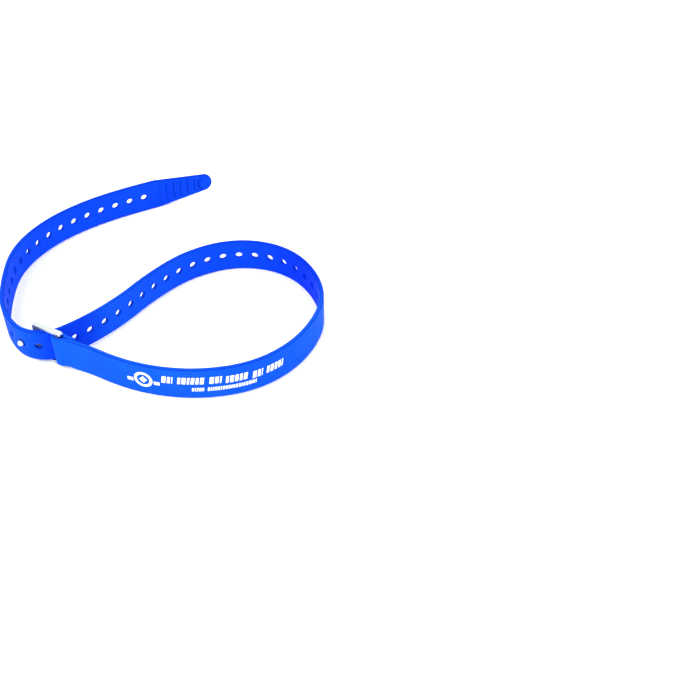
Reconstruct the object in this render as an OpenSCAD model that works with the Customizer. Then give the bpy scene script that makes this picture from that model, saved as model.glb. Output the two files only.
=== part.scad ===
// Moulded stretch strap with punched holes and a hook buckle, standing on edge and
// fastened through its own buckle as a loop with a free tail.
// The strap runs: end loop round the buckle's rear bar, front, right bend, back,
// through the buckle window, over the front bar, onto the tongue, tail, pull tip.
// Millimetres, +Z up. Origin: on the floor, below the middle of the whole outline.

/* [Strap] */
// Width of the strap
strap_w = 25; // [24.5:0.1:25.2]
// Thickness of the strap
strap_t = 3; // [2.6:0.1:3.2]
// Diameter of the punched holes
hole_d = 5.5; // [5:0.1:6]
// Distance from hole to hole along the strap
hole_pitch = 12.2; // [12:0.05:12.4]

/* [Strap end loop] */
// Width of the narrowed end that goes round the rear bar
neck_w = 23.8; // [22:0.1:24.4]
// Outer radius of the end loop
end_loop_r = 4.65; // [4.5:0.05:4.7]
// Length of the doubled and welded end, from the rear bar's centre
weld_len = 13; // [9:0.5:13.5]

/* [Buckle] */
// Thickness of the buckle plate
plate_t = 3.6; // [3.4:0.1:3.8]
// Width of the window that the strap goes through
window_w = 25.6; // [25.4:0.1:26]
// Width of each side rail
rail_w = 2.6; // [2.2:0.1:2.8]
// Width of the front bar
front_bar_w = 5.3; // [4.6:0.1:5.5]
// Distance from the rear bar's centre to the front edge
buckle_reach = 20.6; // [20.4:0.1:20.8]
// Diameter of the tongue's upturned post
post_d = 3.8; // [3.2:0.1:4]
// Diameter of the nub on the post
nub_d = 4.5; // [4.1:0.1:4.7]

/* [Pull tip] */
// Length of the tapered tip
tip_len = 48; // [44:1:52]
// Radius of the rounded end of the tip
tip_r = 7.2; // [6:0.2:8]
// Number of straight grip ribs
rib_count = 6; // [4:1:6]
// Height of the ribs and of the button
rib_h = 0.8; // [0.5:0.1:1]

/* [Folds] */
// Gap round each fold of the strap
fold_gap = 0.05; // [0.03:0.01:0.08]
// Gap round the open fold behind the buckle
open_fold_gap = 0.7; // [0.6:0.05:0.8]
// Gap between the rear bar and the bore of the end loop
bar_gap = 0.05; // [0.02:0.01:0.08]

/* [Hidden] */
$fn = 48;

strap_blue = [0.05, 0.30, 0.95];
metal = [0.52, 0.58, 0.58];
ink_white = [0.95, 0.95, 0.95];

// ---- how the strap stands, seen from above ----
bar_at = [-196, -15.4];       // centre of the buckle's rear bar
end_heading = 157;            // from the end loop towards the buckle
plate_heading = 152;          // from the rear bar towards the front bar
root_len = 17;                // from the rear bar's centre to the first fold

function dir(a) = [cos(a), sin(a)];
function left(v) = [-v[1], v[0]];
function bar_frame(x, y) = bar_at + x*dir(end_heading) + y*left(dir(end_heading));

// Each stretch is an arc: its length in hole pitches and its turn in degrees.
// From the hole on the tongue back through the buckle and round the back of the loop:
tongue_hole = [-222.86, -8.23];
tongue_heading = 147.46;
lock_turn = 28.1;             // turn per pitch where the strap bends through the buckle
back_arcs = [[2, 8.9], [3, 11.3], [3, -10.3], [3, -25.3], [3, -36.1], [3, -38.3], [3, -27.4]];
// and from the tongue out along the tail to the start of the pull tip:
tail_arcs = [[3, -31.3], [3, -9.3], [3, -26.8], [3, -19.6], [3, -13.1], [3.35, -7.1]];
// stations [x, y, heading] that the front passes between its three folds
front_left = [-150.8, -38.2, -23.1];
front_right = [-31.3, -8.1, 60.2];
front_middle_heading = 15.4;

// ---- arcs: [start, heading, length, turn] ----
near_straight = 0.05;         // turns below this many degrees are drawn straight
function radius(e) = e[2]/(e[3]*PI/180);
function heading_at(e, s) = e[1] + e[3]*s/e[2];
function point_at(e, s) = e[3] == 0 ? e[0] + s*dir(e[1])
    : e[0] + radius(e)*(left(dir(e[1])) - left(dir(heading_at(e, s))));
function part_of(e, s0, s1) =
    [point_at(e, s0), heading_at(e, s0), s1 - s0, e[3]*(s1 - s0)/e[2]];
function end_of(e) = point_at(e, e[2]);

// a run of arcs, each starting where the one before ends
function run(p, h, arcs, i = 0) = i == len(arcs) ? []
    : let (e = [p, h, arcs[i][0]*hole_pitch, arcs[i][1]])
      concat([e], run(end_of(e), h + e[3], arcs, i + 1));

// two arcs that join station a to station b, [x, y, heading] each
function arc_to(p, h, q) =
    let (v = q - p, turn = 2*atan2(v*left(dir(h)), v*dir(h)))
    [p, h, abs(turn) < near_straight ? norm(v) : norm(v)*(turn*PI/180)/(2*sin(turn/2)),
     abs(turn) < near_straight ? 0 : turn];
function joint_point(a, b) =
    let (p = [a[0], a[1]], q = [b[0], b[1]], u = dir(a[2]), w = dir(b[2]), v = q - p,
         t = u + w, k = 2*(1 - u*w),
         d = k < 1e-6 ? (v*v)/(2*(v*t)) : (-(v*t) + sqrt((v*t)*(v*t) + k*(v*v)))/k)
    (p + q + d*(u - w))/2;
function pair(a, b) =
    let (m = joint_point(a, b), e = arc_to([a[0], a[1]], a[2], m))
    [e, arc_to(m, e[1] + e[3], [b[0], b[1]])];

// the bend through the buckle, from tail fold 1 back to the open fold
before_hole = 0.5;            // pitches from the tongue's hole to tail fold 1
after_hole = 2.5;             // and to the open fold
to_tail = [tongue_hole, tongue_heading, before_hole*hole_pitch, -before_hole*lock_turn];
lock_arc = [end_of(to_tail), tongue_heading - before_hole*lock_turn + 180,
    (before_hole + after_hole)*hole_pitch, (before_hole + after_hole)*lock_turn];
back = run(end_of(lock_arc), lock_arc[1] + lock_arc[3], back_arcs);
tail = run(end_of(to_tail), to_tail[1] + to_tail[3], tail_arcs);

fold_1 = bar_frame(-root_len, strap_t/2);   // front, beside the buckle
fold_3 = end_of(back[6]);                   // right-hand end
fold_4 = end_of(back[2]);                   // middle of the back
fold_5 = back[0][0];                        // back, beside the buckle: left open
fold_2 = fold_3 + (fold_1 + fold_5)/2 - fold_4;  // middle of the front: makes the folds
                                                 // a parallelogram
function station(p, heading) = [p[0], p[1], heading];
front_stations = [station(fold_1, end_heading + 180), front_left,
    station(fold_2, front_middle_heading), front_right,
    station(fold_3, back[6][1] + back[6][3] + 180)];
front = [for (i = [0:3]) each pair(front_stations[i], front_stations[i + 1])];

function reach(arcs, i) = i == 0 ? 0 : reach(arcs, i - 1) + arcs[i - 1][2];

// a wall of thickness t and height z0 to z1 along arc e, moved left by shift
module wall(e, t, shift, z0, z1) {
    if (e[3] == 0)
        translate([e[0][0], e[0][1], z0]) rotate([0, 0, e[1]])
            translate([0, shift - t/2, 0]) cube([e[2], t, z1 - z0]);
    else {
        side = sign(e[3]);
        centre = e[0] + radius(e)*left(dir(e[1]));
        first = side > 0 ? e[1] - 90 : e[1] + 90 + e[3];
        translate([centre[0], centre[1], z0]) rotate([0, 0, first])
            rotate_extrude(angle = abs(e[3]))
                translate([abs(radius(e)) - side*shift - t/2, 0]) square([t, z1 - z0]);
    }
}

module upright(p, r, z0, z1) translate([p[0], p[1], z0]) cylinder(r = r, h = z1 - z0);

// the row of holes, a pitch apart: none of them crosses from one arc to the next
module strap_holes(e, count)
    for (k = [0:count - 1]) {
        s = (k + 0.5)*hole_pitch;
        p = point_at(e, s);
        translate([p[0], p[1], strap_w/2]) rotate([0, 0, heading_at(e, s)])
            rotate([90, 0, 0]) cylinder(d = hole_d, h = strap_t + 2, center = true);
    }

// Where two arcs of one piece meet, both stop short and a slightly thicker and lower band
// joins them.
band_len = 1.2;
band_t = strap_t + 0.2;
band_setback = 0.3;
edge_step = 0.1;              // how far bands and beads stay inside the strap's edges
module band(e) translate([e[0][0], e[0][1], edge_step]) rotate([0, 0, e[1]])
    translate([-band_len/2, -band_t/2, 0]) cube([band_len, band_t, strap_w - 2*edge_step]);

// One piece of strap: arcs of a run from index a to index b, with a number of holes in
// each arc. At its knuckle end a round bead stands out past the wall; at its socket end
// the wall stops short and is hollowed for the next piece's bead. Setback is how far the
// wall stops from the fold's centre at the start and at the end of the run.
bead_r = strap_t/2 - 0.1;
bead_setback = 0.5;
socket_setback = 0.6;
module strap_piece(arcs, a, b, knuckle, socket, gap, counts, setback) {
    difference() {
        union() {
            for (i = [a:b])
                wall(part_of(arcs[i], i > a ? band_setback : setback[0],
                             arcs[i][2] - (i < b ? band_setback : setback[1])),
                     strap_t, 0, 0, strap_w);
            if (b > a) for (i = [a + 1:b]) band(arcs[i]);
            upright(knuckle, bead_r, edge_step, strap_w - edge_step);
        }
        for (i = [a:b]) if (counts[i - a] > 0) strap_holes(arcs[i], counts[i - a]);
        if (gap > 0) upright(socket, bead_r + gap, -1, strap_w + 1);
    }
}
from_bead = [bead_setback, socket_setback];     // a run that starts at its knuckle
from_socket = [socket_setback, bead_setback];   // and one that starts at its socket

// ---- how it rests: on the buckle's lower rail and on the strap's edge ----
rail_drop = window_w/2 + rail_w - strap_w/2;    // how far the rail hangs below the strap
rest_line_at = [-43.7, 81.45];   // two places where the strap's edge is on the floor
rest_line_to = [-159.35, 174.85];
rest_rail_at = [-194.6, -14.1]; // and the place where the rail is
rest_axis = (rest_line_to - rest_line_at)/norm(rest_line_to - rest_line_at);
rest_span = (rest_rail_at - rest_line_at)*left(rest_axis);
rest_tilt = asin(rail_drop/abs(rest_span));
middle = [-134.542, 73.334];          // middle of the whole outline

module stand()
    translate([rest_line_at[0] - middle[0], rest_line_at[1] - middle[1], 0])
        rotate(a = rest_tilt, v = [rest_axis[0], rest_axis[1], 0])
            translate([-rest_line_at[0], -rest_line_at[1], 0]) children();

module at_bar(heading) translate([bar_at[0], bar_at[1], 0]) rotate([0, 0, heading]) children();

// turns a shape drawn as (along, up) into a plate from y0 to y1
module plate(y0, y1)
    translate([0, y1, 0]) rotate([90, 0, 0]) linear_extrude(height = y1 - y0) children();

shoulder = 0.25;              // how far a round end stands out past the sides that meet it
past = 10;                    // enough to cut right through, or to run past everything

// ---- the end loop, welded round the rear bar ----
shoulder_len = 4;              // from the full width to the narrowed width
weld_flat = 3;                 // where the doubled end lies flat on itself
weld_pared = 1.5;              // its pared edge
module end_loop_body() {
    side = end_loop_r - shoulder;
    upright([0, 0], end_loop_r, 0, strap_w);
    linear_extrude(height = strap_w)
        polygon([[-weld_len, strap_t], [-weld_len + weld_flat, strap_t], [0, side], [0, -side],
                 [-weld_len + weld_flat, -strap_t], [-weld_len + weld_pared, -strap_t],
                 [-weld_len, -strap_t/2]]);
    translate([-root_len + socket_setback, 0, 0])
        cube([root_len - weld_len + 1 - socket_setback, strap_t, strap_w]);
}

module end_loop()
    color(strap_blue) stand() at_bar(end_heading) difference() {
        intersection() {
            union() end_loop_body();
            plate(-past, past) polygon([
                [-root_len - past, 0], [-weld_len, 0],
                [-weld_len + shoulder_len, (strap_w - neck_w)/2], [past, (strap_w - neck_w)/2],
                [past, (strap_w + neck_w)/2], [-weld_len + shoulder_len, (strap_w + neck_w)/2],
                [-weld_len, strap_w], [-root_len - past, strap_w]]);
        }
        upright([0, 0], plate_t/2 + bar_gap, -1, strap_w + 1);
        upright([-root_len, strap_t/2], bead_r + fold_gap, -1, strap_w + 1);
    }

// the stretch that goes through the window and over the front bar, onto the tongue
module lock_section()
    color(strap_blue) stand()
        strap_piece([lock_arc], 0, 0, fold_5, lock_arc[0], fold_gap, [3], from_socket);

// ---- the buckle ----
rail_end = 3.6;               // how far the rails go past the rear bar's centre
corner_r = 3;
window_r = 1;
bar_inset = 0.5;              // how far the rear bar's ends stay inside the rails
module rounded(x0, x1, z0, z1, r) {
    translate([x0 + r, z0]) square([x1 - x0 - 2*r, z1 - z0]);
    translate([x0, z0 + r]) square([x1 - x0, z1 - z0 - 2*r]);
    for (x = [x0 + r, x1 - r]) for (z = [z0 + r, z1 - r]) translate([x, z]) circle(r = r);
}

module buckle_ring()
    color(metal) stand() at_bar(plate_heading) {
        plate(-plate_t/2, plate_t/2) difference() {
            rounded(-rail_end, buckle_reach, -rail_drop, strap_w + rail_drop, corner_r);
            rounded(-rail_end - past, buckle_reach - front_bar_w,
                    (strap_w - window_w)/2, (strap_w + window_w)/2, window_r);
        }
        upright([0, 0], plate_t/2, -rail_drop + bar_inset, strap_w + rail_drop - bar_inset);
    }

// The tongue is one casting with the front bar: it flares into the bar and turns up.
post_at = (tongue_hole - bar_at)*dir(plate_heading);
post_rise = (tongue_hole - bar_at)*left(dir(plate_heading));
tongue_t = 3;
flare_r = 3;
post_over = 1;                // how far the post stands past the strap
nub_sink = 0.8;               // how far the nub is let into the post's end
module buckle_tongue()
    color(metal) stand() at_bar(plate_heading) {
        plate(-tongue_t/2, tongue_t/2) difference() {
            translate([buckle_reach, strap_w/2 - post_d/2 - flare_r])
                square([post_at - buckle_reach, post_d + 2*flare_r]);
            for (side = [-1, 1])
                translate([buckle_reach + flare_r, strap_w/2 + side*(post_d/2 + flare_r)]) {
                    circle(r = flare_r);
                    translate([0, -flare_r]) square([post_at - buckle_reach, 2*flare_r]);
                }
        }
        translate([post_at, -tongue_t/2, strap_w/2]) rotate([-90, 0, 0])
            cylinder(d = post_d, h = tongue_t/2 + post_rise + strap_t/2 + post_over);
        translate([post_at, post_rise + strap_t/2 + nub_d/2 - nub_sink, strap_w/2])
            sphere(d = nub_d);
    }

// ---- the strap's other pieces, each from one fold to the next ----
module front_piece(a, b, knuckle, socket)
    color(strap_blue) stand()
        strap_piece(front, a, b, knuckle, socket, fold_gap, [0, 0, 0, 0], from_bead);
module front_near() front_piece(0, 3, fold_1, fold_2);
module front_far() front_piece(4, 7, fold_2, fold_3);
module back_far()
    color(strap_blue) stand()
        strap_piece(back, 3, 6, fold_3, fold_4, fold_gap, [3, 3, 3, 3], from_socket);
module back_near()
    color(strap_blue) stand()
        strap_piece(back, 0, 2, fold_4, fold_5, open_fold_gap, [2, 3, 3],
                    [open_fold_gap + socket_setback, bead_setback]);
module tail_piece(i, gap)
    color(strap_blue) stand()
        strap_piece(tail, i, i, tail[i][0], end_of(tail[i]), gap, [3],
                    [bead_setback, gap > 0 ? socket_setback : 0]);
module tail_1() tail_piece(0, fold_gap);
module tail_2() tail_piece(1, fold_gap);
module tail_3() tail_piece(2, fold_gap);
module tail_4() tail_piece(3, fold_gap);
module tail_5() tail_piece(4, fold_gap);
module tail_6() tail_piece(5, 0);

// ---- printed marks on the front's outer face: plain bars and a ring ----
ink_t = 0.12;
// one bar from s0 to s1 along the strap, from z0 to z1 up it
module ink_bar(s0, s1, z0, z1)
    for (i = [0:len(front) - 1]) {
        from = reach(front, i);
        a = max(s0, from);
        b = min(s1, from + front[i][2]);
        if (b - a > 0.01)
            wall(part_of(front[i], a - from, b - from), ink_t, -(strap_t + ink_t)/2, z0, z1);
    }
ring_s = 50;                  // where the ring is, from the first fold
ring_z = 12.8;                // and how high its centre is
ring_r = 6.4;
ring_band = 2;
ring_square = 4;              // side of the square in the ring's middle
module ink_ring() {
    p = point_at(front[2], ring_s - reach(front, 2));
    h = heading_at(front[2], ring_s - reach(front, 2));
    intersection() {
        ink_bar(ring_s - ring_r - 1, ring_s + ring_r + 1, 0.5, strap_w - 0.5);
        translate([p[0], p[1], ring_z]) rotate([0, 0, h]) rotate([90, 0, 0])
            linear_extrude(height = past) {
                difference() { circle(r = ring_r); circle(r = ring_r - ring_band); }
                rotate([0, 0, 45]) square(ring_square, center = true);
            }
    }
}
// bars either side of the ring, then an upper and a lower row of bars: [start, length]
wings = [[38.6, 4.2], [57.2, 3.9]];
bars_near = [[62.4, 7.2], [72.8, 18], [93.5, 7.8], [104, 4]];
bars_far = [[110.3, 8.9], [121.8, 7], [131.8, 6.3], [139.7, 4.8]];
fine_near = [[81.8, 7.8], [92, 15]];
fine_far = [[110.3, 14]];
wing_row = [9.8, 12.6];       // from and to, up the strap
near_row = [12.8, 18.6];      // the upper row comes down a little towards its far end
far_row = [11, 16.8];
lower_row = [6.5, 9.6];
module ink_row(bars, row) for (b = bars) ink_bar(b[0], b[0] + b[1], row[0], row[1]);
module print_near()
    color(ink_white) stand() {
        ink_ring();
        ink_row(wings, wing_row);
        ink_row(bars_near, near_row);
        ink_row(fine_near, lower_row);
    }
module print_far()
    color(ink_white) stand() {
        ink_row(bars_far, far_row);
        ink_row(fine_far, lower_row);
    }

// ---- the pull tip ----
module at_tip() {
    last = tail[len(tail) - 1];
    translate([end_of(last)[0], end_of(last)[1], 0]) rotate([0, 0, last[1] + last[3]]) children();
}
tip_centre = [tip_len - tip_r, strap_w/2];
tip_side = tip_r - shoulder;
module pull_tip()
    color(strap_blue) stand() at_tip() {
        plate(-strap_t/2, strap_t/2)
            polygon([[0, 0], [0, strap_w], tip_centre + [0, tip_side], tip_centre - [0, tip_side]]);
        plate(-strap_t/2, strap_t/2) translate(tip_centre) circle(r = tip_r);
    }

rib_first = 3.8;
rib_step = 5.9;
rib_foot = 1.2;               // half width of a rib where it meets the strap
rib_crest = 0.6;              // and at its top
rib_margin = 2.6;              // from a rib's end to the strap's edge
button_r = 5.2;
button_offset = 0.9;          // how far the button sits beyond the round end's centre
function half_width_at(x) = strap_w/2 - (strap_w/2 - tip_side)*x/tip_centre[0];
module grip_ribs()
    color(strap_blue) stand() at_tip() translate([0, -strap_t/2, strap_w/2]) {
        for (i = [0:rib_count - 1]) {
            x = rib_first + i*rib_step;
            reach_z = half_width_at(x) - rib_margin;
            translate([x, 0, -reach_z]) linear_extrude(height = 2*reach_z)
                polygon([[-rib_foot, 0], [-rib_crest, -rib_h], [rib_crest, -rib_h], [rib_foot, 0]]);
        }
        translate([tip_centre[0] + button_offset, 0, 0]) rotate([90, 0, 0]) cylinder(r = button_r, h = rib_h);
    }

end_loop();
lock_section();
buckle_ring();
buckle_tongue();
front_near();
print_near();
front_far();
print_far();
back_far();
back_near();
tail_1();
tail_2();
tail_3();
tail_4();
tail_5();
tail_6();
pull_tip();
grip_ribs();
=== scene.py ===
import math
import bpy
import bmesh
import numpy as np
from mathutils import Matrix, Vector


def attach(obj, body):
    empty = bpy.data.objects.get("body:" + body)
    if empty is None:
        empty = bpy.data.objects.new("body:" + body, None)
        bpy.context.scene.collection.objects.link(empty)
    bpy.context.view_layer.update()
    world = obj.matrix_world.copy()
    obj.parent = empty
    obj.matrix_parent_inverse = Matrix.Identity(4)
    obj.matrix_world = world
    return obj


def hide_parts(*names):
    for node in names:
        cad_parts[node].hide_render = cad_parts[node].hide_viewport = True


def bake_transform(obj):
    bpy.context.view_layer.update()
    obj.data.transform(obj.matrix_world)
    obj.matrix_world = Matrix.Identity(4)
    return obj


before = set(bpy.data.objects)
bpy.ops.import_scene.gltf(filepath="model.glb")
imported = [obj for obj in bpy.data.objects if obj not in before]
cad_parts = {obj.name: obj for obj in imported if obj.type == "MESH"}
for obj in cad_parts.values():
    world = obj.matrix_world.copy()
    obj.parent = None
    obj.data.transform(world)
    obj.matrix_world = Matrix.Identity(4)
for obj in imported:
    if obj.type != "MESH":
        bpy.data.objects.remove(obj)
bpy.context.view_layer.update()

# ------------------------------------------------------------------ the strap's layout
STRAP_W, STRAP_T, HOLE_R, PITCH = 25.0, 3.0, 2.62, 12.2
MID = STRAP_W / 2                       # height of the strap's middle
BAR_AT = np.array([-196.0, -15.4])      # the buckle's rear bar
END_HEADING, PLATE_HEADING = 157.0, 152.0
ROOT_LEN, WELD_LEN, NECK_W = 17.0, 13.0, 23.8
TONGUE_HOLE, TONGUE_HEADING, LOCK_TURN = np.array([-222.86, -8.23]), 147.46, 28.1
# arcs as (pitches long, degrees turned)
BACK_ARCS = [(2, 8.9), (3, 11.3), (3, -10.3), (3, -25.3), (3, -36.1), (3, -38.3), (3, -27.4)]
TAIL_ARCS = [(3, -31.3), (3, -9.3), (3, -26.8), (3, -19.6), (3, -13.1), (3.35, -7.1)]
# places on the front as (x, y, heading)
FRONT_LEFT, FRONT_RIGHT, FRONT_MIDDLE = (-150.8, -38.2, -23.1), (-31.3, -8.1, 60.2), 15.4
MIDDLE = np.array([-134.542, 73.334])   # this point of the plan is the frame's origin
REST_AT, REST_TO, REST_RAIL = (np.array(p) for p in
                               ([-43.7, 81.45], [-159.35, 174.85], [-194.6, -14.1]))
WINDOW_W, RAIL_W, FRONT_BAR_W, REACH, RAIL_END, PLATE_T = 25.6, 2.6, 5.3, 20.6, 3.6, 3.6
RAIL_DROP = WINDOW_W / 2 + RAIL_W - MID
TIP_LEN, TIP_R = 48.0, 7.2


def unit(a):
    return np.array([math.cos(math.radians(a)), math.sin(math.radians(a))])


def left(v):
    return np.array([-v[1], v[0]])


def arc_at(e, s):
    """Point and heading of an arc (start, heading, length, turn) at distance s."""
    p, h, length, turn = e
    if turn == 0:
        return p + s * unit(h), h
    r = length / math.radians(turn)
    a = h + turn * s / length
    return p + r * (left(unit(h)) - left(unit(a))), a


def run(p, h, arcs):
    """A chain of arcs from a point and heading, and the point and heading where it ends."""
    made = []
    for pitches, turn in arcs:
        made.append((p, h, pitches * PITCH, turn))
        p, h = arc_at(made[-1], pitches * PITCH)
    return made, p, h


def arc_to(p, h, q):
    """The arc that leaves p with this heading and ends at q."""
    v = q - p
    chord = np.linalg.norm(v)
    turn = 2 * math.degrees(math.atan2(v @ left(unit(h)), v @ unit(h)))
    if abs(turn) < 0.05:
        return (p, h, chord, 0)
    return (p, h, chord * math.radians(turn) / (2 * math.sin(math.radians(turn) / 2)), turn)


def two_arcs(a, b):
    """Two arcs that join smoothly and lead from one (x, y, heading) to another."""
    p, q, v0, v1 = np.array(a[:2]), np.array(b[:2]), unit(a[2]), unit(b[2])
    v, t, k = q - p, v0 + v1, 2 * (1 - v0 @ v1)
    if k < 1e-6:
        d = (v @ v) / (2 * (v @ t))
    else:
        d = (-(v @ t) + math.sqrt((v @ t) ** 2 + k * (v @ v))) / k
    m = (p + q + d * (v0 - v1)) / 2
    first = arc_to(p, a[2], m)
    return [first, arc_to(m, arc_at(first, first[2])[1], q)]


def back_to_front(e):
    p, h = arc_at(e, e[2])
    return (p, h + 180, e[2], -e[3])


to_tail = (TONGUE_HOLE, TONGUE_HEADING, PITCH / 2, -LOCK_TURN / 2)
tail_start, tail_heading = arc_at(to_tail, PITCH / 2)
lock, fold_5, lock_end = run(tail_start, tail_heading + 180, [(3, 3 * LOCK_TURN)])
back, fold_3, fold_3_heading = run(fold_5, lock_end, BACK_ARCS)
tail, tip_start, tip_heading = run(tail_start, tail_heading, TAIL_ARCS)
fold_4 = back[3][0]
fold_1 = BAR_AT - ROOT_LEN * unit(END_HEADING) + STRAP_T / 2 * left(unit(END_HEADING))
fold_2 = fold_3 + (fold_1 + fold_5) / 2 - fold_4
stations = [(*fold_1, END_HEADING + 180), FRONT_LEFT, (*fold_2, FRONT_MIDDLE), FRONT_RIGHT,
            (*fold_3, fold_3_heading + 180)]
front = [e for a, b in zip(stations, stations[1:]) for e in two_arcs(a, b)]
band = front + [back_to_front(e) for e in reversed(back)] + [back_to_front(lock[0])] + tail
starts = np.concatenate([[0], np.cumsum([e[2] for e in band])])

# distances along the band from the first fold, which is beside the buckle
S2 = starts[4]                          # front, middle
S3 = starts[8]                          # right-hand end; the row of holes starts here
S4 = S3 + 12 * PITCH                    # back, middle
S5 = S4 + 8 * PITCH                     # back, beside the buckle
T1 = S5 + 3 * PITCH                     # just past the tongue
T = [T1 + 3 * PITCH * i for i in range(6)]      # the tail's folds
TIP = starts[-1]
# where the band is cut into pieces: on the front, on the right-hand end and on the back
CUT_1, CUT_2, CUT_3, CUT_4 = S2 / 2, (S2 + S3) / 2, S3 + 6 * PITCH, S4 + 4 * PITCH

rest_axis = (REST_TO - REST_AT) / np.linalg.norm(REST_TO - REST_AT)
tilt = math.asin(RAIL_DROP / abs((REST_RAIL - REST_AT) @ left(rest_axis)))
CROSS = np.array([[0, 0, rest_axis[1]], [0, 0, -rest_axis[0]], [-rest_axis[1], rest_axis[0], 0]])
TURN = np.eye(3) + math.sin(tilt) * CROSS + (1 - math.cos(tilt)) * CROSS @ CROSS


def stand(p):
    """Plan millimetres to metres in the model's frame."""
    p = np.asarray(p, float)
    return ((p - [*REST_AT, 0]) @ TURN.T + [*(REST_AT - MIDDLE), 0]) / 1000


# ------------------------------------------------------------------ the folded end
WRAP_R, WRAP_ANGLE = 3.26, 100          # round the rear bar
WRAP_T = 2.8                            # thinner where it is stretched round
SIDE_FROM = -7.5                        # where the two layers leave the doubled end


def bezier(p0, h0, p1, h1, k, n):
    """A curve between two points and headings, with handles k long."""
    a, b = p0 + k * unit(h0), p1 - k * unit(h1)
    t = np.linspace(0, 1, n)[:, None]
    return (1 - t) ** 3 * p0 + 3 * t * (1 - t) ** 2 * a + 3 * t * t * (1 - t) * b + t ** 3 * p1


half_t = STRAP_T / 2
wrap = np.vstack([
    [[-WELD_LEN, -half_t]],
    bezier(np.array([SIDE_FROM, -half_t]), 0, WRAP_R * unit(-WRAP_ANGLE), 90 - WRAP_ANGLE, 2.6, 14),
    [WRAP_R * unit(a) for a in np.linspace(-WRAP_ANGLE, WRAP_ANGLE, 41)[1:-1]],
    bezier(WRAP_R * unit(WRAP_ANGLE), 90 + WRAP_ANGLE, np.array([SIDE_FROM, half_t]), 180, 2.6, 14),
    [[-ROOT_LEN, half_t]]])
wrap_s = np.concatenate([[0], np.cumsum(np.linalg.norm(np.diff(wrap, axis=0), axis=1))])
wrap_s -= wrap_s[-1]                    # 0 at the first fold, negative towards the end
END = wrap_s[0]
wrap_xy = BAR_AT + wrap[:, :1] * unit(END_HEADING) + wrap[:, 1:] * left(unit(END_HEADING))


def wrap_at(s, reach=0.3):
    """Point and left-hand normal on the folded end, with the direction taken over this reach."""
    behind, p, ahead = (np.array([np.interp(s + d, wrap_s, wrap_xy[:, c]) for c in (0, 1)])
                        for d in (-reach, 0, reach))
    if s < END + reach:
        behind, ahead = wrap_xy[0], wrap_xy[1]
    elif s > -reach:
        behind, ahead = wrap_xy[-2], wrap_xy[-1]
    return p, left((ahead - behind) / np.linalg.norm(ahead - behind))


def path(s_list):
    """Points and left-hand normals of the band's middle at these distances."""
    p, n = np.zeros((len(s_list), 2)), np.zeros((len(s_list), 2))
    for i, s in enumerate(s_list):
        if s < 0:
            p[i], n[i] = wrap_at(s)
        elif s >= TIP:
            p[i], n[i] = tip_start + (s - TIP) * unit(tip_heading), left(unit(tip_heading))
        else:
            k = min(int(np.searchsorted(starts, s, side="right")) - 1, len(band) - 1)
            p[i], h = arc_at(band[k], s - starts[k])
            n[i] = left(unit(h))
    return p, n


def solid_at(szn):
    """(s, z, n) along, up and to the left of the band, in metres in the model's frame."""
    szn = np.asarray(szn, float)
    p, n = path(szn[:, 0])
    return stand(np.column_stack([p + szn[:, 2:3] * n, szn[:, 1]]))


def ahead_at(s):
    """One millimetre forward along the band at s, in metres in the model's frame."""
    p, n = path([s])
    step = stand([*(p[0] - left(n[0])), 0]) - stand([*p[0], 0])
    return step / np.linalg.norm(step) / 1000


# ------------------------------------------------------------------ mesh building
EDGE_R = 0.75                           # rounding of the strap's two edges
HOLE_EDGE = 0.25                        # and of the holes' rims
SIDE = 10                               # facets along one side of a hole's square cell
QUARTER = [i * math.pi / 8 for i in range(5)]
rim = [(EDGE_R * math.sin(a), half_t - EDGE_R + EDGE_R * math.cos(a)) for a in QUARTER]
EDGE = rim + [(out, -n) for out, n in reversed(rim)]
inner_rows = list(np.linspace(-PITCH / 2, PITCH / 2, SIDE + 1))
outer_rows = [PITCH / 2 + d for d in (1.35, 2.7, 4.05)]
flat_half = MID - EDGE_R
RIM_ROW = 0.3                           # a close row beside each edge
ROWS = np.array([-flat_half, -flat_half + RIM_ROW] + [-x for x in reversed(outer_rows)] + inner_rows
                + outer_rows + [flat_half - RIM_ROW, flat_half]) / flat_half


class Mesh:
    """Points kept once each, by their (s, z, n), with faces and which faces are end caps."""

    def __init__(self):
        self.keys, self.points, self.faces, self.caps = {}, [], [], []

    def add(self, s, z, n):
        key = (round(s, 3), round(z, 3), round(n, 3))
        if key not in self.keys:
            self.keys[key] = len(self.points)
            self.points.append((float(s), float(z), float(n)))
        return self.keys[key]

    def face(self, *ids, cap=False):
        ids = [a for i, a in enumerate(ids) if a != ids[i - 1]]
        if len(ids) > 2:
            if cap:
                self.caps.append(len(self.faces))
            self.faces.append(tuple(ids))

    def between(self, a, b):
        """Faces between two rows of points of the same length."""
        for i in range(len(a) - 1):
            self.face(a[i], a[i + 1], b[i + 1], b[i])

    def skin(self, rows):
        """Faces between each row of points and the next."""
        for a, b in zip(rows, rows[1:]):
            self.between(a, b)


def smooth(x):
    x = min(1.0, max(0.0, x))
    return x * x * (3 - 2 * x)


def bell(x, width):
    return math.exp(-(x / width) ** 2)


def spaced(a, b, step):
    return list(np.linspace(a, b, max(2, int(math.ceil((b - a) / step)) + 1)))


# painted shade along the strap: darker along the back, most at its right-hand end, and along the tail
# than on the front, with a painted shadow where the strap passes through the buckle; as (distance, share
# of the painted shade's colour)
PAINTED_SHADE_ALONG = [(20, 0.0), (S2, 0.25), (S3 - 50, 0.05), (S3 - 20, 0.0), (S3 + 12, 0.9), (S3 + 40, 0.9),
        (S3 + 90, 0.5), (S4, 0.3), (S5 - 35, 0.05), (S5 - 12, 0.6), (S5 + 14, 0.6), (T1 - 8, 0.2),
        (T1 + 10, 0.3), (T1 + 45, 0.5), (TIP, 0.55)]


HOLE_ZONE = 8                           # the holes' walls lie within this of the middle
CORNER_AT = 1.15                        # where the painted shade on the edges' rounding is darkest, from the band's middle plane


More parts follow.
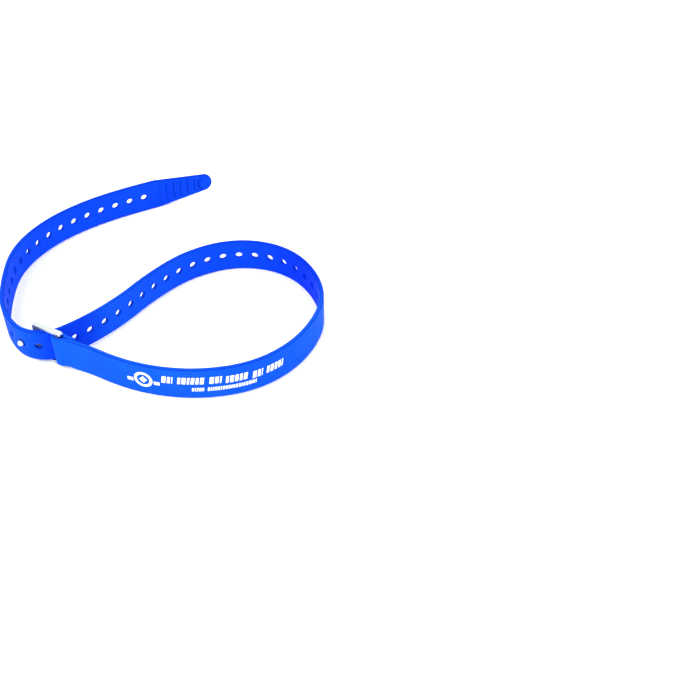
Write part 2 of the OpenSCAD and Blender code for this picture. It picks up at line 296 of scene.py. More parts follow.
def painted_light_and_shade_at(s, z, n):
    """Painted light and shade at a point: 0.5 plain, 0 darkest painted shade, 1 palest painted light."""
    across = abs(z - MID)
    # painted shade on the holes' walls
    if across < HOLE_ZONE and s < TIP:
        return 0.5 - 0.5 * smooth((half_t - abs(n) - 0.08) / 0.4)
    tone = 0.5
    # painted light on the flat middle of the edges' strips, painted shade on their rounded corners
    if s > TIP or across > flat_half + 0.005:
        tone += 0.08 * smooth((0.8 - abs(n)) / 0.4)
        if abs(n) < half_t - 0.01:
            tone -= 0.5 * bell(abs(n) - CORNER_AT, 0.3)
    # painted shade at the feet of the tip's ribs and round its button
    if s > TIP and n < -half_t:
        tone = 0.5 - 0.5 * rib_shade(s - TIP, z - MID)
    return tone


def point_values(me, name, values):
    layer = me.attributes.new(name, "FLOAT", "POINT")
    layer.data.foreach_set("value", np.array(values, np.float32))


def build(name, mesh, place, *materials, slots=None):
    """A closed mesh object from points in some layout, put in place by the function place."""
    me = bpy.data.meshes.new(name)
    me.from_pydata([tuple(p) for p in place(np.array(mesh.points))], [], mesh.faces)
    bm = bmesh.new()
    bm.from_mesh(me)
    bmesh.ops.recalc_face_normals(bm, faces=bm.faces)
    bm.faces.ensure_lookup_table()
    for f in bm.faces:
        f.smooth = True
    for i in mesh.caps:
        bm.faces[i].smooth = False
        for e in bm.faces[i].edges:
            e.smooth = False
    open_edges = sum(1 for e in bm.edges if len(e.link_faces) != 2)
    if open_edges:
        print(name, "has", open_edges, "edges without two faces")
    bm.to_mesh(me)
    bm.free()
    if place is solid_at:
        # painted light and shade across the band, one value per point
        point_values(me, "shade", [painted_light_and_shade_at(*p) for p in mesh.points])
        # painted shade along the strap, one share per point
        point_values(me, "deep", np.interp([p[0] for p in mesh.points], *zip(*PAINTED_SHADE_ALONG)))
    for m in materials:
        me.materials.append(m)
    if slots is not None:
        me.polygons.foreach_set("material_index", np.array(slots, np.int32))
    o = bpy.data.objects.new(name, me)
    bpy.context.scene.collection.objects.link(o)
    return o


def finished(o, bodies, nodes, bend=None):
    """Rides a piece on its body, or bakes its place into the points of a piece between two bodies,
    and hides the CAD parts that it stands for. Bend holds the fold's distance and the lengths
    before and after it: the fold's point and direction are worked out from it but not used."""
    if len(bodies) == 1:
        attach(o, bodies[0])
    else:
        at, before, after = bend
        fold, ahead = solid_at([(at, MID, 0)])[0], ahead_at(at)
        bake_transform(o)
    if nodes:
        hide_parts(*nodes)


# ------------------------------------------------------------------ cross sections of the strap
# places on the doubled end, as distances along the band, and the lengths over which they fade
PARE_LEN = 2.4                          # the very end is pared to a wedge
NECK_TO, SHOULDER = -8.2, 4.6           # the narrow neck, then its shoulder
THIN_TO, THIN_FADE = -9, 5              # the thin stretch round the bar
STEP_FROM, STEP_IN, STEP_AT, STEP_LEN = -13, 5, -4.6, 2     # the slightly raised outer face
LINE_AT, LINE_W = -2.4, 0.6             # the sunken line beyond it


def half_width(s):
    """Half the band's width: narrower in the buckle, with a rounded shoulder."""
    neck = NECK_W / 2
    return neck + (MID - neck) * smooth((s - NECK_TO) / SHOULDER)


def thickness(s):
    """A share of the full thickness: less where the end is stretched round the bar."""
    thin = smooth((THIN_TO - s) / THIN_FADE) * smooth((s - END - THIN_FADE) / THIN_FADE)
    return 1 - (1 - WRAP_T / STRAP_T) * thin


def outer_cut(s):
    """How far the outer face lies inside the plain strap's: the pared end, then a faint step
    and a sunken line where the doubled end stops."""
    if s > 1:
        return 0.0
    pared = half_t * (1 - smooth((s - END) / PARE_LEN) ** 0.7)
    step = 0.1 * (1 - smooth((s - STEP_AT) / STEP_LEN)) * smooth((s - STEP_FROM) / STEP_IN)
    return pared - step + 0.05 * bell(s - LINE_AT, LINE_W)


def section(mesh, s, half=None, thick=1.0, cut=0.0):
    """The points across the band at s: the two faces, and the strips round the two edges."""
    flat = (half_width(s) if half is None else half) - EDGE_R
    zs = MID + ROWS * flat
    inside = [mesh.add(s, z, half_t * thick) for z in zs]
    outside = [mesh.add(s, z, cut - half_t * thick) for z in zs]
    strips = []
    for sign, end in ((1, -1), (-1, 0)):
        strip = [inside[end]]
        for out, n in EDGE[1:-1]:
            share = 0.5 - n / STRAP_T
            strip.append(mesh.add(s, MID + sign * (flat + out), n * thick + cut * share))
        strips.append(strip + [outside[end]])
    return inside, outside, strips[0], strips[1]


def stretch(mesh, sections):
    """Faces between each section and the next."""
    for a, b in zip(sections, sections[1:]):
        for i in range(4):
            mesh.between(a[i], b[i])


def columns(mesh, s_list, **how):
    """A plain stretch through these distances. How holds functions of s."""
    sections = [section(mesh, s, **{k: v(s) for k, v in how.items()}) for s in s_list]
    stretch(mesh, sections)
    return sections[0], sections[-1]


def close(mesh, across):
    """An end cap over a section."""
    inside, outside, top, bottom = across
    mesh.face(*inside, *top[1:-1], *reversed(outside), *reversed(bottom[1:-1]), cap=True)


def hole_cell(mesh, s0):
    """One pitch of strap with a round hole through it."""
    side = inner_rows[:-1]
    square = ([(x, -PITCH / 2) for x in side] + [(PITCH / 2, z) for z in side]
              + [(-x, PITCH / 2) for x in side] + [(-PITCH / 2, -z) for z in side])
    middle = s0 + PITCH / 2

    def ring(w, r, n):
        """Points a share w of the way from a circle of radius r to the cell's square."""
        made = []
        for x, z in square:
            a = math.atan2(z, x)
            made.append(mesh.add(middle + (1 - w) * r * math.cos(a) + w * x,
                                 MID + (1 - w) * r * math.sin(a) + w * z, n))
        return made + made[:1]

    rows = [PITCH / 2] + outer_rows + [flat_half - RIM_ROW, flat_half]
    for n in (half_t, -half_t):
        mesh.skin([ring(w, HOLE_R + HOLE_EDGE, n) for w in (0, .1, .32, .64, 1)])
        for sign in (1, -1):
            mesh.skin([[mesh.add(middle + x, MID + sign * z, n) for z in rows] for x in inner_rows])
    wall = [(HOLE_R + HOLE_EDGE * (1 - math.sin(a)), half_t - HOLE_EDGE * (1 - math.cos(a)))
            for a in (0, math.pi / 6, math.pi / 3, math.pi / 2)]
    wall += [(r, -n) for r, n in reversed(wall)]
    mesh.skin([ring(0, r, n) for r, n in wall])
    for sign in (1, -1):
        mesh.skin([[mesh.add(middle + x, MID + sign * (flat_half + out), n) for out, n in EDGE]
                   for x in inner_rows])


def cells(mesh, s0, count):
    for k in range(count):
        hole_cell(mesh, s0 + k * PITCH)


def nose(mesh, s, way):
    """A half-round end: the two ends that meet at the open fold lie inside each other."""
    sections = []
    for a in np.radians([0, 18, 36, 52, 66, 78]):
        sections.append(section(mesh, s + way * half_t * math.sin(a), half=MID - (.08 if a else 0),
                                thick=math.cos(a)))
    stretch(mesh, sections)
    close(mesh, sections[-1])


# ------------------------------------------------------------------ materials
def material(name, base, metallic=0.0, roughness=0.5, **more):
    m = bpy.data.materials.new(name)
    m.use_nodes = True
    nt = m.node_tree
    shader = nt.nodes["Principled BSDF"]
    shader.inputs["Metallic"].default_value = metallic
    shader.inputs["Roughness"].default_value = roughness
    shader.inputs["Base Color"].default_value = (*base, 1)
    for k, v in more.items():
        shader.inputs[k.replace("_", " ")].default_value = v
    return m, nt, shader


def node(nt, kind, **values):
    n = nt.nodes.new(kind)
    for k, v in values.items():
        if k in n.inputs:
            n.inputs[k].default_value = v
        else:
            setattr(n, k, v)
    return n


def coordinates(nt):
    """The point in the object's own frame, in metres."""
    tex = nt.nodes.get("Texture Coordinate") or nt.nodes.new("ShaderNodeTexCoord")
    return tex.outputs["Object"]


def flattened(nt, times):
    """The same point with its height multiplied, so that a pattern lies in level streaks."""
    n = node(nt, "ShaderNodeMapping", Scale=(1, 1, times))
    nt.links.new(coordinates(nt), n.inputs["Vector"])
    return n.outputs["Vector"]


def noise(nt, scale, detail=3.0, rough=0.5, where=None):
    n = node(nt, "ShaderNodeTexNoise", Scale=scale, Detail=detail, Roughness=rough)
    nt.links.new(where or coordinates(nt), n.inputs["Vector"])
    return n.outputs["Fac"]


def ramp(nt, source, *stops):
    """A colour ramp of (position, colour) stops; a number stands for a grey."""
    r = nt.nodes.new("ShaderNodeValToRGB")
    while len(r.color_ramp.elements) < len(stops):
        r.color_ramp.elements.new(0.5)
    for e, (at, colour) in zip(r.color_ramp.elements, stops):
        e.position = at
        e.color = (*(colour if isinstance(colour, tuple) else (colour,) * 3), 1)
    nt.links.new(source, r.inputs[0])
    return r.outputs[0]


def mix(nt, a, b, share=1.0, how="MIX"):
    """Mixes b over a, each a socket or a colour. Share is a socket or a number."""
    m = nt.nodes.new("ShaderNodeMix")
    m.data_type, m.blend_type = "RGBA", how
    for value, socket in ((share, m.inputs[0]), (a, m.inputs[6]), (b, m.inputs[7])):
        if isinstance(value, bpy.types.NodeSocket):
            nt.links.new(value, socket)
        else:
            socket.default_value = (*value, 1) if isinstance(value, tuple) else value
    return m.outputs[2]


def bumps(nt, shader, *layers):
    """Bump from (height socket, distance in metres, strength), the coarsest first."""
    before = None
    for height, distance, strength in layers:
        b = node(nt, "ShaderNodeBump", Strength=strength, Distance=distance)
        nt.links.new(height, b.inputs["Height"])
        if before:
            nt.links.new(before, b.inputs["Normal"])
        before = b.outputs[0]
    nt.links.new(before, shader.inputs["Normal"])


def strap_material():
    m, nt, shader = material("strap_polyurethane", (0.01, 0.12, 0.9), roughness=0.4,
                             IOR=1.48, Specular_IOR_Level=0.02)
    cloud = noise(nt, 22, 3)                # slow drift of the moulded colour
    fine = noise(nt, 420, 4, 0.6)
    grain = noise(nt, 2600, 2, 0.5)         # the mould's fine texture
    tone = ramp(nt, cloud, (0.3, (0.0032, 0.073, 0.62)), (0.7, (0.0050, 0.093, 0.72)))
    colour = mix(nt, tone, ramp(nt, fine, (0.35, 0.93), (0.62, 1.0)), how="MULTIPLY")
    # painted shade: the blue is darkened along the back and the tail more than along the front, with a
    # painted shadow where the strap passes through the buckle
    deep = node(nt, "ShaderNodeAttribute", attribute_name="deep").outputs["Fac"]
    colour = mix(nt, colour, (0.0002, 0.022, 0.66), deep)
    # painted shade on the corners and the holes' walls, and painted light on the narrow faces
    shade = node(nt, "ShaderNodeAttribute", attribute_name="shade").outputs["Fac"]
    painted_shade = ramp(nt, shade, (0.0, 0.85), (0.5, 0.0))
    painted_light = ramp(nt, shade, (0.5, 0.0), (1.0, 0.4))
    colour = mix(nt, colour, (0.0003, 0.012, 0.22), painted_shade)
    colour = mix(nt, colour, (0.004, 0.16, 0.85), painted_light)
    nt.links.new(colour, shader.inputs["Base Color"])
    scuff = noise(nt, 60, 5, 0.7, flattened(nt, 9))
    rough = ramp(nt, scuff, (0.35, 0.50), (0.55, 0.60), (0.75, 0.72))
    nt.links.new(rough, shader.inputs["Roughness"])
    bumps(nt, shader, (fine, 0.0002, 0.18), (grain, 0.00006, 0.35))
    return m


def ink_material():
    m, nt, shader = material("printed_ink", (0.9, 0.92, 0.95), roughness=0.55)
    blot = noise(nt, 900, 4, 0.6)
    wear = noise(nt, 160, 5, 0.65)
    tone = ramp(nt, blot, (0.3, (0.80, 0.85, 0.96)), (0.6, (0.93, 0.94, 0.96)))
    thin = ramp(nt, wear, (0.70, 0.0), (0.78, 0.5))
    nt.links.new(mix(nt, tone, (0.35, 0.5, 0.95), thin), shader.inputs["Base Color"])
    nt.links.new(ramp(nt, blot, (0.3, 0.5), (0.7, 0.65)), shader.inputs["Roughness"])
    bumps(nt, shader, (blot, 0.00005, 0.4))
    return m


def blasted_material():
    m, nt, shader = material("blasted_casting", (0.47, 0.53, 0.53), metallic=1.0, roughness=0.45)
    grit = noise(nt, 2400, 5, 0.7)
    patch = noise(nt, 130, 4, 0.6)
    tone = ramp(nt, patch, (0.3, (0.36, 0.41, 0.39)), (0.5, (0.44, 0.48, 0.465)),
                (0.75, (0.53, 0.56, 0.545)))
    colour = mix(nt, tone, ramp(nt, grit, (0.3, 0.72), (0.55, 1.0)), how="MULTIPLY")
    nt.links.new(colour, shader.inputs["Base Color"])
    nt.links.new(ramp(nt, patch, (0.3, 0.52), (0.7, 0.36)), shader.inputs["Roughness"])
    bumps(nt, shader, (patch, 0.0003, 0.15), (grit, 0.00012, 0.6))
    return m


def polished_material():
    m, nt, shader = material("polished_edge", (0.6, 0.64, 0.62), metallic=1.0, roughness=0.2)
    streak = noise(nt, 1500, 3, 0.5)
    scratch = noise(nt, 300, 6, 0.8, flattened(nt, 12))
    tone = ramp(nt, streak, (0.3, (0.52, 0.56, 0.545)), (0.6, (0.63, 0.67, 0.655)))
    nt.links.new(tone, shader.inputs["Base Color"])
    nt.links.new(ramp(nt, scratch, (0.35, 0.14), (0.65, 0.32)), shader.inputs["Roughness"])
    bumps(nt, shader, (scratch, 0.00004, 0.3))
    return m


def paper_material():
    m, nt, shader = material("paper", (0.9, 0.9, 0.9), roughness=0.9)
    tone = ramp(nt, noise(nt, 30, 4), (0.3, 0.955), (0.7, 0.97))
    nt.links.new(tone, shader.inputs["Base Color"])
    return m


strap_blue, ink_white = strap_material(), ink_material()
blasted, polished = blasted_material(), polished_material()


# ------------------------------------------------------------------ the strap's pieces
def strap_piece(name, mesh, bodies, nodes, bend=None):
    finished(build(name, mesh, solid_at, strap_blue), bodies, nodes, bend)


def folded_end():
    """The end that is doubled round the rear bar, and the start of the front."""
    mesh = Mesh()
    steps = (spaced(END, END + PARE_LEN, .4) + spaced(END + 3, -9, .5) + spaced(-8.6, 1, .2)
             + spaced(2, CUT_1, 1.4))
    for end in columns(mesh, steps, thick=thickness, cut=outer_cut):
        close(mesh, end)
    strap_piece("strap_end", mesh, ("knot", "front_near"), ["end_loop", "front_near"], (0, 3, 16))


def plain_front():
    mesh = Mesh()
    for end in columns(mesh, spaced(CUT_1, CUT_2, 1.5)):
        close(mesh, end)
    strap_piece("strap_front", mesh, ("front_near", "front_far"), ["front_near", "front_far"],
                (S2, 32, 32))


def right_end():
    """From the plain front round to the first holes."""
    mesh = Mesh()
    first = columns(mesh, spaced(CUT_2, S3, 1.4))[0]
    cells(mesh, S3, 6)
    close(mesh, first)
    close(mesh, section(mesh, CUT_3))
    strap_piece("strap_right_end", mesh, ("front_far", "back_far"), ["front_far", "back_far"],
                (S3, 26, 26))


def holed(s0, count):
    """A closed stretch with this many holes."""
    mesh = Mesh()
    cells(mesh, s0, count)
    close(mesh, section(mesh, s0))
    close(mesh, section(mesh, s0 + count * PITCH))
    return mesh


def behind_buckle():
    mesh = Mesh()
    cells(mesh, CUT_4, 4)
    close(mesh, section(mesh, CUT_4))
    nose(mesh, S5, 1)
    strap_piece("strap_behind_buckle", mesh, ("back_near",), ["back_near"])


def on_tongue():
    mesh = Mesh()
    nose(mesh, S5, -1)
    cells(mesh, S5, 5)
    close(mesh, section(mesh, T1 + 2 * PITCH))
    strap_piece("strap_on_tongue", mesh, ("knot", "tail_1"), ["lock_section", "tail_1"], (T1, 3, 16))


folded_end()
plain_front()
right_end()
strap_piece("strap_back", holed(CUT_3, 10), ("back_far", "back_near"), ["back_far", "back_near"],
            (S4, 32, 32))
behind_buckle()
on_tongue()
for i in range(1, 6):
    strap_piece(f"strap_tail_{i}", holed(T[i - 1] + 2 * PITCH, 3), (f"tail_{i}", f"tail_{i + 1}"),
                [f"tail_{i}", f"tail_{i + 1}"], (T[i], 12, 12))

# ------------------------------------------------------------------ the pull tip
RIB_PITCH, RIB_HEIGHTS = 5.9, (.45, .65, .8, .8, .8, .75)
# place, height and curve: the ribs curve more towards the very end
RIBS = [(3.8 + RIB_PITCH * i, h, 0.004 + 0.032 * (i / 5) ** 3) for i, h in enumerate(RIB_HEIGHTS)]
BUTTON_AT, BUTTON_R, BUTTON_H = TIP_LEN - TIP_R + .9, 5.2, .75


def rib_shade(x, z):
    """The line of shade along each rib's foot and round the button."""
    painted_shade = 0.0
    half = MID - (MID - TIP_R) * x / TIP_LEN
    for at, h, curve in RIBS:
        d = x - at - curve * z * z
        end = smooth(half - 2.2 - abs(z))
        painted_shade = max(painted_shade, 1.2 * h * bell(d + 1.15, 0.65) * end, 0.3 * h * bell(d - 1.2, 0.5) * end)
    d = math.hypot(x - BUTTON_AT, z)
    ring = 0.75 * bell(d - BUTTON_R - .1, .6) * smooth((BUTTON_AT + 1 - x) / 3)
    return min(1.0, max(painted_shade, ring))


def tip_relief(x, z, half):
    """Height above the plain outer face at x along the tip and z from its middle."""
    high = 0.0
    for at, h, curve in RIBS:
        d = abs(x - at - curve * z * z)
        high = max(high, h * smooth((1.4 - d) / 0.75) * smooth(half - 2.3 - abs(z)))
    d = math.hypot(x - BUTTON_AT, z)
    button = BUTTON_H * smooth((BUTTON_R - d) / 0.8)
    dish = 0.25 * smooth((BUTTON_R - 1.2 - d) / 3)
    groove = 0.25 * bell(d - BUTTON_R - .7, .45) * smooth((BUTTON_AT + 2 - x) / 4)
    return max(high, button - dish) - groove * smooth(half - 1.6 - abs(z))


def outline(step=0.35):
    """Points of the tip's edge with their outward normals, from its start to the very end."""
    c = TIP_LEN - TIP_R
    phi = math.atan2(MID, -c) - math.acos(TIP_R / math.hypot(MID, c))
    n = (math.cos(phi), math.sin(phi))
    end_x, end_z = c + TIP_R * n[0], TIP_R * n[1]
    made = [((x, MID + (end_z - MID) * x / end_x), n) for x in spaced(.7, end_x, step)]
    for a in np.linspace(phi, 0, 30)[1:]:
        n = (math.cos(a), math.sin(a))
        made.append(((c + TIP_R * n[0], TIP_R * n[1]), n))
    return made


FINE = np.array([v for a, b in zip(ROWS, ROWS[1:]) for v in (a, (a + b) / 2)] + [ROWS[-1]])


def tip_section(mesh, edge, last):
    """The points across the tip at a point of its edge: a single one at the very end."""
    (x, z), n = edge
    x_in, z_in = x - EDGE_R * n[0], z - EDGE_R * n[1]
    s = TIP + x_in
    zs = [0.0] if last else list(FINE * z_in)
    inside = [mesh.add(s, MID + v, half_t) for v in zs]
    outside = [mesh.add(s, MID + v, -half_t - tip_relief(x_in, v, z)) for v in zs]
    strips = []
    for sign, which in ((1, -1), (-1, 0)):
        strip = [inside[which]]
        for out, h in EDGE[1:-1]:
            strip.append(mesh.add(s + out * n[0], MID + sign * (z_in + out * n[1]), h))
        strips.append(strip + [outside[which]])
    return inside, outside, strips[0], strips[1]


def across_tip(mesh, a, b):
    """Faces between two rows: alike, or from coarse to fine, or to the single last point."""
    if len(a) == len(b):
        mesh.between(a, b)
        return
    for i in range(len(a) - 1):
        if len(b) == 1:
            mesh.face(a[i], a[i + 1], b[0])
        else:
            mesh.face(a[i], a[i + 1], b[2 * i + 2], b[2 * i + 1], b[2 * i])


def pull_tip():
    mesh = Mesh()
    cells(mesh, T[5] + 2 * PITCH, 1)
    close(mesh, section(mesh, T[5] + 2 * PITCH))
    edge = outline()
    rows = [columns(mesh, spaced(T[5] + 3 * PITCH, TIP, .7))[1]]
    rows += [tip_section(mesh, e, e is edge[-1]) for e in edge]
    for a, b in zip(rows, rows[1:]):
        for face in (0, 1):
            across_tip(mesh, a[face], b[face])
        for strip in (2, 3):
            mesh.between(a[strip], b[strip])
    strap_piece("strap_pull_tip", mesh, ("tail_6",), ["tail_6", "pull_tip", "grip_ribs"])


pull_tip()

# ------------------------------------------------------------------ printed marks
INK_LOW, INK_HIGH = .05 - half_t, -.07 - half_t     # through the outer face, a little proud
RING_S, RING_Z, RING_R, RING_BAND, SQUARE = 50.0, 12.8, 6.4, 2.0, 4.0
SIDE_BARS = [(38.6, 42.8), (57.2, 61.1)]
LEAN = 0.16                             # the dashes' slant
# large dashes as (start, length, widths), and small ones as (start, length)
LARGE = [(62.4, 7.2, (2.7, 2.1)), (72.8, 18, (1.9, 2.6, 1.6, 2.3)), (93.5, 7.8, (2.8, 2.2)),
         (104, 15.2, (1.8, 2.5, 2.2)), (121.8, 7, (2.6, 2.0)), (131.8, 12.7, (1.9, 2.4, 2.1))]
SMALL = [(81.8, 7.8), (92, 32.3)]
LARGE_Z, SMALL_Z, BARS_Z = (12.8, 18.6), (6.5, 9.6), (9.8, 12.6)


def slab(mesh, grid):
    """A thin closed slab over a grid of (s, z) points."""
    low = [[mesh.add(s, z, INK_LOW) for s, z in row] for row in grid]
    high = [[mesh.add(s, z, INK_HIGH) for s, z in row] for row in grid]
    mesh.skin(low)
    mesh.skin(high)
    for i in (0, -1):
        mesh.between(low[i], high[i])
        mesh.between([r[i] for r in low], [r[i] for r in high])


def dashes(mesh, s0, length, z0, z1, widths, gap):
    """A row of slanted dashes from s0, repeating these widths."""
    s, s1, k = s0, s0 + length, 0
    while s < s1 - .3:
        w = min(widths[k % len(widths)], s1 - s)
        slab(mesh, [[(s + w * t + LEAN * (z - z0), z) for z in np.linspace(z0, z1, 4)]
                    for t in np.linspace(0, 1, max(2, int(w / .9) + 2))])
        s += w + gap
        k += 1


def print_ring():
    """A ring with a square in it and a short bar on each side."""
    mesh = Mesh()
    radii = (RING_R - RING_BAND, RING_R - RING_BAND / 2, RING_R)
    around = np.linspace(0, 2 * math.pi, 73)
    low, high = ([[mesh.add(RING_S + r * math.cos(a), RING_Z + r * math.sin(a), n) for a in around]
                  for r in radii] for n in (INK_LOW, INK_HIGH))
    mesh.skin(low)
    mesh.skin(high)
    mesh.between(low[0], high[0])
    mesh.between(low[2], high[2])
    d = SQUARE / math.sqrt(2) / 6
    slab(mesh, [[(RING_S + (i - j) * d, RING_Z + (i + j - 6) * d) for j in range(7)] for i in range(7)])
    for s0, s1 in SIDE_BARS:
        slab(mesh, [[(s, z) for z in np.linspace(*BARS_Z, 4)] for s in spaced(s0, s1, .9)])
    finished(build("print_ring", mesh, solid_at, ink_white), ("front_near",), ["print_near"])


def print_dashes():
    mesh = Mesh()
    for s0, length, widths in LARGE:
        fall = 1.8 * smooth((s0 - 95) / 20)         # the far dashes lie a little lower
        dashes(mesh, s0, length, LARGE_Z[0] - fall, LARGE_Z[1] - fall, widths, .85)
    for s0, length in SMALL:
        dashes(mesh, s0, length, *SMALL_Z, (1.3, .8, 1.1, 1.5), .5)
    finished(build("print_dashes", mesh, solid_at, ink_white), ("front_near", "front_far"),
             ["print_near", "print_far"], (S2, 32, 32))


print_ring()
print_dashes()


# ------------------------------------------------------------------ the buckle
LOW, HIGH = -RAIL_DROP, STRAP_W + RAIL_DROP
PLATE_EDGE_R = .55


def at_plate(xyz):
    """(along, across towards the outside, up) in the buckle's frame, to metres."""
    xyz = np.asarray(xyz, float)
    flat = BAR_AT + xyz[:, :1] * unit(PLATE_HEADING) + xyz[:, 1:2] * left(unit(PLATE_HEADING))
    return stand(np.column_stack([flat, xyz[:, 2]]))


def rounded_corners(corners, steps=7):
    """A closed outline with an arc at each corner: corners are (x, z, radius)."""
    made = []
    for i, (x, z, r) in enumerate(corners):
        p = np.array([x, z])
        a = np.array(corners[i - 1][:2]) - p
        b = np.array(corners[(i + 1) % len(corners)][:2]) - p
        a, b = a / np.linalg.norm(a), b / np.linalg.norm(b)
        half = math.acos(np.clip(a @ b, -1, 1)) / 2
        centre = p + (a + b) / np.linalg.norm(a + b) * r / math.sin(half)
        ends = [p + v * r / math.tan(half) - centre for v in (a, b)]
        t0 = math.atan2(ends[0][1], ends[0][0])
        turn = (math.atan2(ends[1][1], ends[1][0]) - t0 + math.pi) % (2 * math.pi) - math.pi
        for k in range(steps + 1):
            t = t0 + turn * k / steps
            made.append(centre + r * np.array([math.cos(t), math.sin(t)]))
    return np.array(made)


def outward(points):
    """Unit normals of a closed anticlockwise outline."""
    ahead, behind = np.roll(points, -1, 0) - points, points - np.roll(points, 1, 0)
    t = ahead / np.linalg.norm(ahead, axis=1)[:, None] + behind / np.linalg.norm(behind, axis=1)[:, None]
    t /= np.linalg.norm(t, axis=1)[:, None]
    return np.column_stack([t[:, 1], -t[:, 0]])


def buckle_ring():
    """The plate with its window, which is open towards the rear bar, and rounded edges."""
    window_low, window_high, window_end = MID - WINDOW_W / 2, MID + WINDOW_W / 2, REACH - FRONT_BAR_W
    edge = rounded_corners([
        (-RAIL_END, LOW, 1.7), (REACH, LOW, 3), (REACH, HIGH, 3), (-RAIL_END, HIGH, 1.7),
        (-RAIL_END, window_high, .75), (window_end, window_high, 1),
        (window_end, window_low, 1), (-RAIL_END, window_low, .75)])
    facing = outward(edge)
    levels = [(PLATE_EDGE_R * (1 - math.sin(a)), PLATE_T / 2 - PLATE_EDGE_R * (1 - math.cos(a)))
              for a in QUARTER]
    levels += [(inset, -y) for inset, y in reversed(levels)]
    mesh = Mesh()
    loops = [[mesh.add(p[0] - inset * n[0], y, p[1] - inset * n[1]) for p, n in zip(edge, facing)]
             for inset, y in levels]
    mesh.faces += [tuple(loops[0]), tuple(loops[-1])]
    mesh.caps = [0, 1]
    slots = [0, 0]
    for i, (a, b) in enumerate(zip(loops, loops[1:])):
        mesh.between(a + a[:1], b + b[:1])
        as_cast = i >= len(QUARTER)         # the rounding on the back isn't polished
        slots += [0 if as_cast else 1] * (len(mesh.faces) - len(slots))
    finished(build("buckle_ring_cast", mesh, at_plate, blasted, polished, slots=slots),
             ("buckle",), ["buckle_ring"])


CIRCLE = [(math.cos(t), math.sin(t)) for t in np.linspace(0, 2 * math.pi, 41)]


def rear_bar():
    mesh = Mesh()
    r, low, high = PLATE_T / 2, LOW + .6, HIGH - .6
    heights = (low, low + 1.5, *np.linspace(0, STRAP_W, 6), high - 1.5, high)
    loops = [[mesh.add(r * c, r * k, z) for c, k in CIRCLE] for z in heights]
    mesh.skin(loops)
    for end in (0, -1):
        mesh.face(*loops[end][:-1], cap=True)
    finished(build("buckle_rear_bar", mesh, at_plate, blasted), ("buckle",), [])


# the hook: out of the front bar in a flare, dipping, then turned up through the hole
POST_AT = float((TONGUE_HOLE - BAR_AT) @ unit(PLATE_HEADING))
POST_RISE = float((TONGUE_HOLE - BAR_AT) @ left(unit(PLATE_HEADING)))
NUB_R, POST_R, HOOK_T = 2.25, 1.85, 3.0
NUB_AT = np.array([POST_AT + .3, POST_RISE + half_t + NUB_R - 1.6])
FLARE_R, FLARE_END = 3, 23.6
HOOK = np.array([[17.6, 0], [20.6, 0], [22.4, -.12], [24.2, .05], [25.6, .7], [26.45, 1.8], [26.9, 3.2],
                 [POST_AT, POST_RISE - 1.5], [POST_AT + .1, POST_RISE + .4], NUB_AT])


def catmull(points, n):
    """A smooth line through these points, with n steps between each two."""
    made = []
    for i in range(len(points) - 1):
        p0, p1, p2, p3 = (points[min(max(k, 0), len(points) - 1)] for k in (i - 1, i, i + 1, i + 2))
        for t in np.linspace(0, 1, n, endpoint=False):
            made.append(.5 * (2 * p1 + (p2 - p0) * t + (2 * p0 - 5 * p1 + 4 * p2 - p3) * t * t
                              + (3 * p1 - p0 - 3 * p2 + p3) * t ** 3))
    return np.array(made + [points[-1]])


def hook_section(p):
    """Half width, half depth and squareness of the hook at a point of its spine."""
    x, y = p
    rise = smooth((y - .3) / 3)
    if y > NUB_AT[1] - 1.1:
        wide = deep = math.sqrt(max(.01, NUB_R ** 2 - (y - NUB_AT[1]) ** 2))
    else:
        wide, deep = POST_R, HOOK_T / 2 + (POST_R - HOOK_T / 2) * rise
        if x < FLARE_END:
            wide += FLARE_R - math.sqrt(max(0, FLARE_R ** 2 - (FLARE_END - max(x, REACH)) ** 2))
    return wide, deep, .62 + .38 * rise


def swollen(v, power):
    return math.copysign(abs(v) ** power, v)


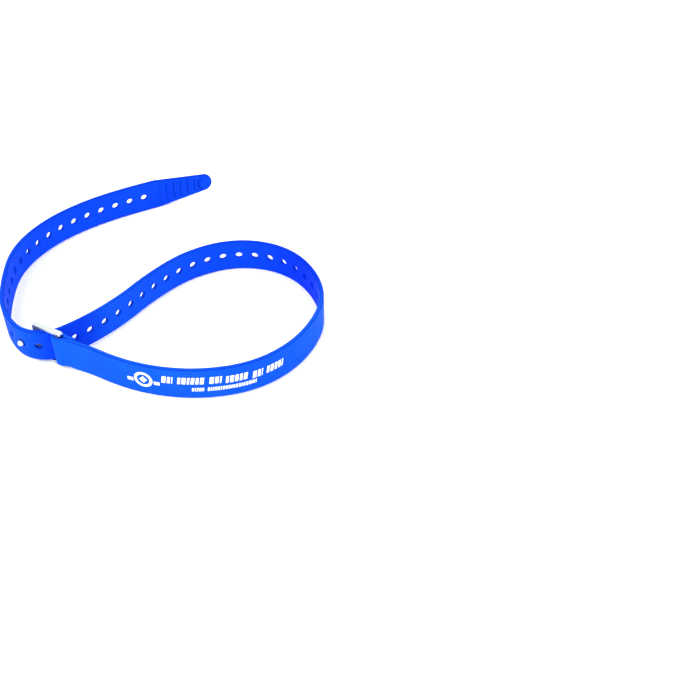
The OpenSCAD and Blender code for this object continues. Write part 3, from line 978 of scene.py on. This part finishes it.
def tongue():
    """The hook, swept square to round along its spine, and the top half of its nub."""
    spine = catmull(HOOK, 6)
    mesh, rings = Mesh(), []
    for i, p in enumerate(spine):
        t = spine[min(i + 1, len(spine) - 1)] - spine[max(i - 1, 0)]
        n = left(t / np.linalg.norm(t))
        wide, deep, power = hook_section(p)
        ring = []
        for c, k in CIRCLE[:-1]:
            x, y = p + n * deep * swollen(k, power)
            ring.append(mesh.add(x, y, MID + wide * swollen(c, power)))
        rings.append(ring + ring[:1])
    for a in np.radians([20, 38, 55, 70, 82]):
        r, y = NUB_R * math.cos(a), NUB_AT[1] + NUB_R * math.sin(a)
        ring = [mesh.add(NUB_AT[0] + .03 - r * k, y, MID + r * c) for c, k in CIRCLE[:-1]]
        rings.append(ring + ring[:1])
    mesh.skin(rings)
    for end in (0, -1):
        mesh.face(*rings[end][:-1], cap=True)
    finished(build("buckle_tongue_cast", mesh, at_plate, polished), ("buckle",), ["buckle_tongue"])


buckle_ring()
rear_bar()
tongue()

# ------------------------------------------------------------------ floor, light, camera
bpy.ops.mesh.primitive_plane_add(size=6, location=(0, 1, 0))
floor = bpy.context.object
floor.name = "floor"
floor.data.materials.append(paper_material())

world = bpy.data.worlds.new("studio")
world.use_nodes = True
sky = world.node_tree.nodes["Background"]
sky.inputs["Color"].default_value = (1, 1, 1, 1)
sky.inputs["Strength"].default_value = 1.45
bpy.context.scene.world = world


def area_light(name, at, aim, size, power):
    light = bpy.data.lights.new(name, "AREA")
    light.size, light.energy = size, power
    o = bpy.data.objects.new(name, light)
    bpy.context.scene.collection.objects.link(o)
    o.location = at
    o.rotation_euler = (Vector(aim) - Vector(at)).to_track_quat("-Z", "Y").to_euler()


area_light("key", (-0.35, -0.55, 0.75), (0, -0.03, 0), 0.6, 5)
area_light("fill", (0.9, -0.5, 0.8), (0, 0, 0), 0.8, 2)
area_light("back", (0.2, 1.0, 0.9), (0, 0, 0), 0.9, 2)

# The photograph looks along +Y, 43 degrees down, from 0.7 m off the point at its middle.
AIM = Vector((-MIDDLE[0] / 1000, -MIDDLE[1] / 1000, 0))
DOWN, AWAY = math.radians(43), 0.7
camera = bpy.data.cameras.new("camera")
camera.lens, camera.sensor_width = 51.5314, 36
camera.clip_start, camera.clip_end = 0.01, 20
view = bpy.data.objects.new("camera", camera)
bpy.context.scene.collection.objects.link(view)
view.location = AIM + AWAY * Vector((0, -math.cos(DOWN), math.sin(DOWN)))
view.rotation_euler = (AIM - view.location).to_track_quat("-Z", "Y").to_euler()
bpy.context.scene.camera = view
bpy.context.scene.view_settings.view_transform = "Standard"
